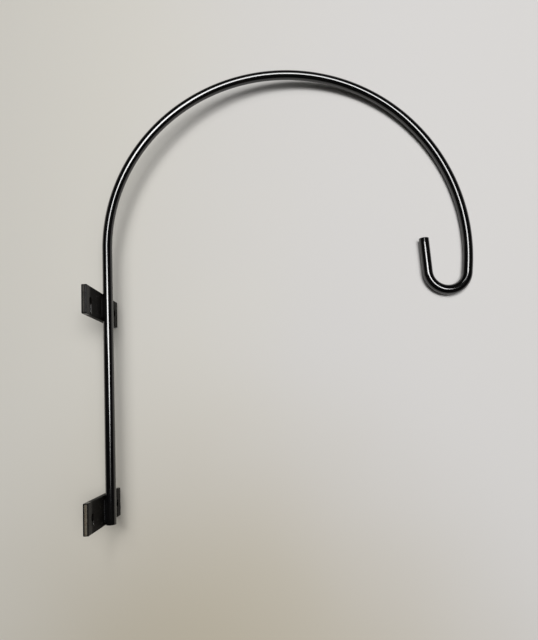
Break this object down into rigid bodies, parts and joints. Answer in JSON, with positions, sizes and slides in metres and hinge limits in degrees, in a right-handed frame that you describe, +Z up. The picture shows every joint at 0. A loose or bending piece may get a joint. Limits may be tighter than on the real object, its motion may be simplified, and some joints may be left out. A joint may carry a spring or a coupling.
{
  "type": "swan neck wall bracket",
  "caption": "Bent round-bar wall bracket with a large arched neck ending in an open hook, welded to flat wall plates with screw holes.",
  "frame": {"origin": "centre of the four screw holes, on the wall plane", "axes": "+X straight out from the wall, +Z up along the post, +Y to the right of someone who faces the wall"},
  "size_m": [0.3831, 0.1, 0.4585],
  "materials": {
    "rod_paint": "smooth glossy black paint on drawn round steel bar",
    "plate_paint": "glossy black paint on flat steel bar, thin and worn at the cut ends",
    "weld_paint": "black paint over rippled weld metal"
  },
  "bodies": {
    "root": {"swan_neck_rod": "rod_paint", "upper_wall_plate": "plate_paint", "lower_wall_plate": "plate_paint", "upper_weld_left": "weld_paint", "upper_weld_right": "weld_paint", "lower_weld_left": "weld_paint", "lower_weld_right": "weld_paint"}
  },
  "joints": []
}
